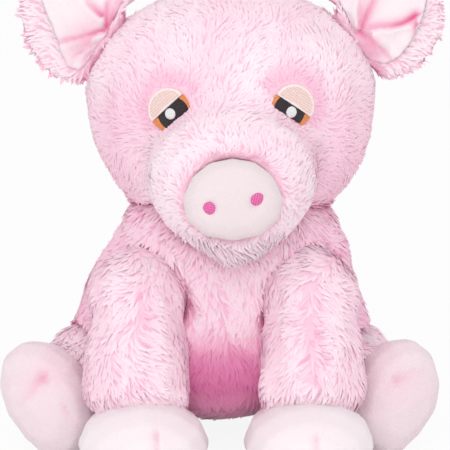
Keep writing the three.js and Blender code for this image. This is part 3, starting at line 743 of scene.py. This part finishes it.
# Head: a broad round bag of the same plush with a bulging muzzle in one with it, stuffed
# tight and sewn to the torso's neck all round. It leans and turns a little to one side.
head_skin = stuffed_skin(
    "head_skin",
    ["head_cover", "head_stuffing"],
    voxel=3 * MM,
    inset=pile_depth,
    rounds=7,
    body="head",
    beside=["torso_cover", "snout_cover"],
    pushes=[
        ((80, -10, 178), (4.8, 0, 0), 34),
        ((-73, 0, 190), (-3.8, 0, 0), 40),
        ((70, -5, 218), (3.5, 0, 1), 22),
        ((4, -74, 138), (0, -4, -7), 17),
        ((4, -80, 203), (0, -3, -1.5), 13),
    ],
)
head_skin.data.materials.append(under_pile)

neck = Vector((4, 0, 166))
head_lean = Matrix.Rotation(math.radians(-0.8), 3, "Y") @ Matrix.Rotation(math.radians(-2), 3, "Z")
head_shift = Vector((7, 0, 0))
frame_shift = Vector((-0.5209, 5.8982, 0))


def on_head(x, y, z):
    """A place on the level head, in millimetres, as it lies on the leaning one, in metres."""
    return (neck + head_lean @ (Vector((x, y, z)) - neck) + head_shift + frame_shift) * MM


snout_middle = np.array(on_head(0, -100, 171))
head_tree = shape_tree(head_skin)
disc_radius = 12.8 * MM
Eye = namedtuple("Eye", "sign middle across down facing edge brim")
eyes = {}
# Each eye: its side and sign, its place across and up the level head in mm, how far it
# droops outwards in degrees, and how far down its disc the lid ends and the fur begins.
for side, sign, x, z, roll, edge, brim in (
    ("left", 1, 33.5, 216.0, 35, -0.4, 5.4),
    ("right", -1, -37.8, 214.8, 42, -1.6, 6.2),
):
    facing = Vector((0, -1, 0))
    facing.rotate(Matrix.Rotation(math.radians(-4), 3, "X"))
    facing.rotate(Matrix.Rotation(math.radians(19 * sign), 3, "Z"))
    across = Vector((0, 0, 1)).cross(facing).normalized()
    across.rotate(Matrix.Rotation(math.radians(-roll * sign), 3, facing))
    down = across.cross(facing).normalized()
    if down.z > 0:
        down.negate()
    facing, across, down = [head_lean @ way for way in (facing, across, down)]
    start = on_head(x, 0, z)
    start.y = -0.3
    middle = head_tree.ray_cast(start, Vector((0, 1, 0)))[0] + facing * 0.5 * MM
    eyes[side] = Eye(sign, middle, across, down, facing, edge * MM, brim * MM)


def on_eye(points, eye):
    """Distance of points from an eye's middle and how far they lie down its slanting face."""
    offset = points - np.array(eye.middle)
    return np.linalg.norm(offset, axis=1), offset @ np.array(eye.down)


def head_comb(points, normals):
    """Out from the snout in all directions, away from each eye, and down at the back."""
    away = points - snout_middle
    reach = np.linalg.norm(away, axis=1)
    way = unit(away)
    behind = grade(points[:, 1], 15, 45)
    way[:, 2] -= 0.25 * grade(reach, 60, 120) + 0.9 * behind
    way += 0.4 * waves(points, 30 * MM, 41)
    beside = squeezed(points, [snout_tree], 6 * MM)[:, None]
    ear_root_shade = np.zeros(len(points))
    way = way * (1 - beside) + np.cross(unit(away), [0, -1, 0]) * beside
    # Painted shade in the creases round the ears' roots.
    for joint in frame["joints"]:
        if joint["name"].endswith("ear_fold"):
            gap = (points - np.array(joint["pos_m"])) * [1, 0.8, 0.45]
            far = np.linalg.norm(gap, axis=1) / (9 * MM)
            ear_root_shade = np.maximum(ear_root_shade, 0.6 * np.exp(-(far**2)))
    near = grade(reach, 75, 45)
    length, lift, width, _ = steady(len(points), 9.0, 0.05, 1.15)
    side = np.hypot(away[:, 0], away[:, 2])
    # Painted shade on the cheeks and sides beyond the muzzle, less higher up; the waves vary the tone
    # at random.
    cheek_shade = 0.21 - 0.15 * grade(away[:, 2], 35, 55)
    beyond = np.maximum(grade(side, 44, 51), grade(points[:, 1], -10, 10))
    tone = cheek_shade * beyond + 0.05 * waves(points, 24 * MM, 43)[:, 0] + 0.04 * behind
    # Painted shade in the crease round the snout's rim and in the crease against the torso.
    tone = np.maximum(tone, 0.4 * squeezed(points, [snout_tree], 3 * MM))
    tone = np.maximum(np.maximum(tone, ear_root_shade), 0.3 * squeezed(points, [torso_tree], 12 * MM))
    length *= 1 - 0.22 * near
    lift *= 1 - 0.25 * near
    for eye in eyes.values():
        gap, low = on_eye(points, eye)
        above = grade(low - eye.brim, 0, -3)
        close = (grade(gap, 28, 16) * above)[:, None]
        way = way * (1 - close) + unit(points - np.array(eye.middle)) * close
        length *= 1 - 0.35 * close[:, 0]
        tone = np.maximum(tone, 0.34 * close[:, 0])
        below = grade(gap, 18, 15) * (1 - above)
        length *= 1 - 0.6 * below
        lift = lift + 0.3 * below
    return way, length, lift, width, np.clip(tone, 0, 1)


def clear_of_eyes(points):
    """False on the cloth that an eye's stitches cover, down to where fur lies over them."""
    stays = np.ones(len(points), bool)
    for eye in eyes.values():
        gap, low = on_eye(points, eye)
        stays &= (gap > disc_radius + 0.6 * MM) | (low > eye.brim + 0.4 * MM)
    return stays


# Snout: a round pad of cream velour, stuffed and sewn to the muzzle's end, with its
# edge tucked in all round.
snout = stuffed_skin(
    "snout_pad",
    ["snout_cover", "snout_stuffing"],
    voxel=1.8 * MM,
    inset=0,
    rounds=6,
    body="head",
    pushes=[((2, -90, 200), (0, 0, -2), 16)],
)
snout_velour = finish("snout_velour", 0.9, velour("f2e5e7", "e9d9dd"), sheen=0.2, bump=0.4 * MM)
snout.data.materials.append(snout_velour)
snout_tree = shape_tree(snout)


# Pile of the head: one cloth, combed out from the snout. It is planted in bands from
# the front to the back, finest at the front, and short round the stitched eyes.
def part_of_head(front, back):
    """The cloth from one depth to another, in mm, that no eye covers."""
    def keep(points, normals):
        return clear_of_eyes(points) & (points[:, 1] < back * MM) & (points[:, 1] >= front * MM)

    return keep


head_covers = [torso_tree, snout_tree]
for name, span, grain in (
    ("muzzle", (-200, -45), 1.9),
    ("face", (-45, 0), 2.05),
    ("crown", (0, 30), 2.2),
    ("nape", (30, 200), 2.5),
):
    band = part_of_head(*span)
    plant_pile(f"{name}_pile", head_skin, "head", grain * MM, head_comb, head_covers, band)


def chin_comb(points, normals):
    """Loose locks that hang from the chin over the neck."""
    way = 0.3 * waves(points, 18 * MM, 47) - np.array([0, 0, 1])
    return way, *steady(len(points), 9, 0.18, 1.05, 0.1)


def is_chin(points, normals):
    low_in_front = (points[:, 1] < -45 * MM) & (points[:, 2] < 150 * MM)
    return low_in_front & (normals[:, 2] < -0.25) & (normals[:, 1] < -0.4)


plant_pile(
    "chin_pile",
    head_skin,
    "head",
    2.1 * MM,
    chin_comb,
    head_covers,
    keep=is_chin,
    loose=3,
    lean=(0, -0.7, 0.8),
)


# Pile of the torso: the same plush, pressed flat by the head and legs. The backing
# below it takes the locks' tone, painted shade included, so that the deep pink painted
# shade on the belly shows no pale gaps.
leg_trees = [shape_tree(leg) for leg, foot in limbs.values()]
tone_and_shade = torso_comb(*points_of(torso_skin))[4].astype(np.float32)
torso_skin.data.attributes.new("Tone", "FLOAT", "POINT").data.foreach_set("value", tone_and_shade)
foot_trees = [shape_tree(foot) for leg, foot in limbs.values()]


def part_of_torso(front, back):
    """The cloth from one depth to another, in mm, that the seat doesn't rest on."""
    def keep(points, normals):
        off_floor = points[:, 2] > 4 * MM
        return (points[:, 1] >= front * MM) & (points[:, 1] < back * MM) & off_floor

    return keep


for name, span, grain in (
    ("chest", (-200, -20), 2.0),
    ("flank", (-20, 40), 2.3),
    ("back", (40, 200), 2.6),
):
    plant_pile(
        f"{name}_pile",
        torso_skin,
        "torso",
        grain * MM,
        torso_comb,
        [head_tree, *leg_trees, *foot_trees],
        keep=part_of_torso(*span),
        loose=lambda points: 1 + 3 * shoulder_edge(points),
    )


# Nostrils and eyes: raised satin stitch, sewn through the cloth in rows of shiny thread.
# Each eye is a disc: a peach lid with a rim cord, and amber, black and white below it.
# A stitched pad's outline is what its circles and straight edges have in common.
def circle(x, y, radius):
    return ("circle", x, y, radius)


def reach(origin, angle, limits):
    """The way from a point in the pad's plane to where it leaves the shape the limits share."""
    ray = np.array([math.cos(angle), math.sin(angle)])
    far = 1.0
    for kind, *values in limits:
        if kind == "circle":
            gap = origin - np.array(values[:2])
            toward = float(gap @ ray)
            inside = toward * toward - float(gap @ gap) + values[2] ** 2
            far = min(far, -toward + math.sqrt(max(inside, 0)))
        elif abs(ray[1]) > 1e-6 and (values[0] - origin[1]) / ray[1] > 0:
            far = min(far, (values[0] - origin[1]) / ray[1])
    return ray * far


def stitched_pad(node, place, across, down, facing, middle, limits, height, rim, material):
    """A flattened ball drawn out to an outline: a pad of stitches that domes out of the cloth."""
    name = f"{node}_stitches"
    bm = bmesh.new()
    bmesh.ops.create_uvsphere(bm, u_segments=64, v_segments=22, radius=1)
    origin = np.array(middle)
    stitch = bm.verts.layers.float_color.new("Stitch")
    for vert in bm.verts:
        to_edge = reach(origin, math.atan2(vert.co.y, vert.co.x), limits)
        share = min(1.0, math.hypot(vert.co.x, vert.co.y))
        flat = origin + to_edge * share
        inside = float(np.linalg.norm(to_edge)) * (1 - share)
        ridge = rim * math.exp(-(((inside - 0.8 * MM) / (0.6 * MM)) ** 2)) * (vert.co.z > 0)
        rise = vert.co.z * height + ridge
        vert[stitch] = (flat[0] * 100, flat[1] * 100, inside * 100, 1)
        vert.co = place + across * float(flat[0]) + down * float(flat[1]) + facing * rise
    mesh = bpy.data.meshes.new(name)
    bmesh.ops.recalc_face_normals(bm, faces=bm.faces)
    bm.to_mesh(mesh)
    bm.free()
    mesh.shade_smooth()
    mesh.materials.append(material)
    pad = bpy.data.objects.new(name, mesh)
    scene.collection.objects.link(pad)
    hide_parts(node)
    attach(pad, "head")


def thread(name, light, row_shade, rim, turn, pitch, cord=0.0):
    """Rows of thread at an angle in the pad's plane, with a paler cord round the edge. The rows
    alternate between the light colour, the thread's own, and the dark one, painted shade between the
    rows.

    The turn is in radians and the pitch, from row to row, in mm.
    """
    def build(start):
        spot = start.node("ShaderNodeAttribute", {"attribute_name": "Stitch"}, 1)
        speckle = start.node("ShaderNodeTexNoise", None, 0, Vector=spot, Scale=9.0, Detail=2.0)
        line = spot.part(0) * math.sin(turn) + spot.part(1) * math.cos(turn)
        rows = (line * (62.8 / pitch) + speckle * 2.4).sum("SINE") * 0.5 + 0.5
        # Painted shade between the rows, broken up at random by the speckle noise.
        colour = (rows * 0.5 + speckle * 1.1 - 0.3).clamp().mix(paint(row_shade), paint(light))
        edge = (5.0 - spot.part(2) * 30.0).clamp() * cord
        return edge.mix(colour, paint(rim)), rows

    return finish(name, 0.45, build, sheen=0.15, bump=0.25 * MM)


lid_thread = thread("peach_thread", "fbe6e0", "e8c0ba", "fcefeb", 0.0, 1.4, 1.0)
amber_thread = thread("amber_thread", "f5ab70", "e0703f", "ec8c58", 1.3, 0.9)
black_thread = thread("black_thread", "40353b", "171114", "2a2227", 1.4, 1.1)
white_thread = thread("white_thread", "ffffff", "f2f4f5", "ffffff", 0.8, 0.7)
magenta_thread = thread("magenta_thread", "f587c0", "d24e92", "e870ae", 0.7, 1.3)
nostril_turn = {"left": 35, "right": -55}
nostril_rise = {"left": 1.3 * MM, "right": 0}
for side, (sign, middle, across, down, facing, edge, brim) in eyes.items():
    outer = sign * MM
    disc = circle(0, 0, disc_radius)
    lid = [disc, ("above", edge)]
    below_lid = [disc, ("below", edge), ("above", brim + 1.2 * MM)]
    pupil = [*below_lid, circle(-0.6 * outer, 3 * MM, 9.9 * MM)]
    spark = (0.6 * outer, edge + 3.9 * MM)
    spark_disc = [circle(*spark, 3.3 * MM)]
    half = (edge + brim) / 2
    for part, centre, limits, lift, height, rim, material, slot in (
        ("eyelid", (0, edge - 5 * MM), lid, 0.9, 1.3, 0.5, lid_thread, "peach_thread"),
        ("iris", (0, half), below_lid, 0.1, 1.0, 0.0, amber_thread, "amber_thread"),
        ("pupil", (0, half), pupil, 0.5, 1.1, 0.0, black_thread, "black_thread"),
        ("eye_highlight", spark, spark_disc, 1.1, 1.6, 0.0, white_thread, "white_thread"),
    ):
        stitched_pad(
            f"{side}_{part}",
            place=middle + facing * lift * MM,
            across=across,
            down=down,
            facing=facing,
            middle=centre,
            limits=limits,
            height=height * MM,
            rim=rim * MM,
            material=material,
        )
    corners = [Vector(corner) for corner in frame["nodes"][f"{side}_nostril"].bound_box]
    spot = sum(corners, Vector()) / 8
    spot.y = -0.2
    spot.z += nostril_rise[side]
    surface, outward = snout_tree.ray_cast(spot, Vector((0, 1, 0)))[:2]
    beside = Vector((0, 0, 1)).cross(outward).normalized()
    beside.rotate(Matrix.Rotation(math.radians(nostril_turn[side]), 3, outward))
    stitched_pad(
        f"{side}_nostril",
        place=surface + outward * 1.1 * MM,
        across=beside,
        down=outward.cross(beside).normalized() * -1,
        facing=outward,
        middle=(0, 0),
        limits=[circle(0, -1.6 * MM, 5.5 * MM), circle(0, 1.6 * MM, 5.5 * MM)],
        height=1.4 * MM,
        rim=0,
        material=magenta_thread,
    )


# Ears: each is a broad cup of plush with a velour lining, sewn edge to edge, gathered
# and pleated at the root and sewn into the head's seam. The lining lies well inside the
# edge, so that a wide rim of pile shows. Folds are given as for the feet, each with its
# painted shade; the shallow wide ones are only painted shade on panels that lie in shadow.
ear_pushes = {
    "left": [((126, 5, 245), (3.5, 0, 0), 24), ((91, 6, 231), (-2.5, 0, -5.5), 15)],
    "right": [((-86, 11, 228), (4, 0, -3.5), 14), ((-121, 8, 250), (0.5, 0, 0), 26)],
}
lining_pushes = {
    "left": [((124, 0, 250), (-9, 0, 0), 26), ((88, 4, 240), (-3, 0, -4), 14)],
    "right": [((-116, 8, 252), (13, 0, 0), 30), ((-90, 10, 236), (0, 0, -3), 12)],
}
ear_folds = {
    "left": [
        (
            [(116, -3, 262), (110, -2.6, 258), (102, -1.5, 256), (92, 0.5, 255), (84, 2.7, 255)],
            2.4,
            1.7,
            1.6,
            1.0,
        ),
        ([(117, -3, 258), (118.5, -2, 248), (117, 0, 240), (111, 3, 233)], 1.0, 1.3, 0.4, 0.9),
        ([(83.7, 2.7, 253), (95.3, 2, 244), (108, 6, 232.5)], 3.0, 1.8, 1.4, 0.85),
        ([(84, 1, 256), (86.4, 0, 263.6), (89.7, -1.3, 271), (92, -2, 284)], 2.6, 1.6, 1.2, 0.85),
        ([(82.5, 1.5, 257), (82, 0, 264), (81.5, -1, 271), (81, -1, 282)], 2.0, 1.4, 0.8, 0.6),
        ([(83.5, 0, 262), (85.5, -1, 273)], 0.4, 3.0, 0.0, 0.5),
        ([(92, 2, 246), (96, 5, 232)], 0.4, 5.0, 0.0, 0.65),
    ],
    "right": [
        ([(-70, 8, 253), (-83.7, 6.1, 249.3), (-99.4, 7.5, 245.2)], 3.2, 1.6, 1.5, 0.8),
        ([(-79, 9, 244), (-92, 11, 234.5)], 2.0, 1.6, 0.8, 0.7),
        ([(-79.5, 10, 242), (-82, 11, 233)], 1.4, 1.5, 0.6, 0.7),
        ([(-69.5, 7, 256), (-69.2, 6.1, 262), (-68, 6, 273)], 2.6, 1.7, 1.2, 1.0),
        ([(-72.6, 6, 262.5), (-79.5, 5, 269)], 2.0, 1.8, 1.0, 0.9),
        ([(-80, 8, 246), (-86, 10, 238)], 0.4, 5.0, 0.0, 0.5),
        ([(-66.5, 7, 257), (-62.5, 6, 273)], 0.4, 4.5, 0.0, 0.75),
    ],
}


def ear_comb(root, lining_tree):
    """Out from the ear's root, with painted shade: rosy in the crease there, on the back, which is
    turned from the light, and along the lining's seam.
    """
    def comb(points, normals):
        way = unit(points - root)
        way += 0.35 * waves(points, 20 * MM, 51)
        length, lift, width, _ = steady(len(points), 6.5, 0.1, 1.1)
        # Painted shade at the root against the head, along the lining's seam and on the back.
        root_shade = 0.62 * squeezed(points, [head_tree], 8 * MM)
        seam_shade = 0.14 * squeezed(points, [lining_tree], 4 * MM)
        back = 0.27 * np.clip(normals[:, 1] + 0.1, 0, 1)
        return way, length, lift, width, np.maximum(np.maximum(back, seam_shade), root_shade) - 0.05

    return comb


for side in ("left", "right"):
    ear = stuffed_skin(
        f"{side}_ear_shell",
        [f"{side}_ear_back"],
        voxel=2.2 * MM,
        inset=1.5 * MM,
        rounds=4,
        body=f"{side}_ear",
        pushes=ear_pushes[side],
    )
    ear.data.materials.append(under_pile)
    lining = stuffed_skin(
        f"{side}_ear_cup",
        [f"{side}_ear_lining"],
        voxel=1.2 * MM,
        inset=0,
        rounds=3,
        body=f"{side}_ear",
        pushes=ear_pushes[side] + lining_pushes[side],
    )
    press_folds(lining, ear_folds[side], (0, 1, 0))
    lining.data.materials.append(cream_velour)
    lining_tree = shape_tree(lining)
    joint = next(joint for joint in frame["joints"] if joint["name"] == f"{side}_ear_fold")
    comb = ear_comb(np.array(joint["pos_m"]), lining_tree)
    covers = [head_tree, lining_tree]
    plant_pile(f"{side}_ear_pile", ear, f"{side}_ear", 2.1 * MM, comb, covers, loose=1.6)


# Tail: one curl of a thin tube of the same plush, turned out, stuffed and sewn into the
# back seam above the seat.
tail = stuffed_skin(
    "tail_curl",
    ["tail"],
    voxel=1.6 * MM,
    inset=0.5 * MM,
    rounds=3,
    body="tail",
)
tail.data.materials.append(under_pile)


def tail_comb(points, normals):
    """Up and outwards along the curl."""
    way = np.tile(np.array([0.3, 0.2, 1.0]), (len(points), 1))
    return way, *steady(len(points), 5, 0.35, 0.9, 0.2)


plant_pile("tail_pile", tail, "tail", 1.9 * MM, tail_comb, [torso_tree])
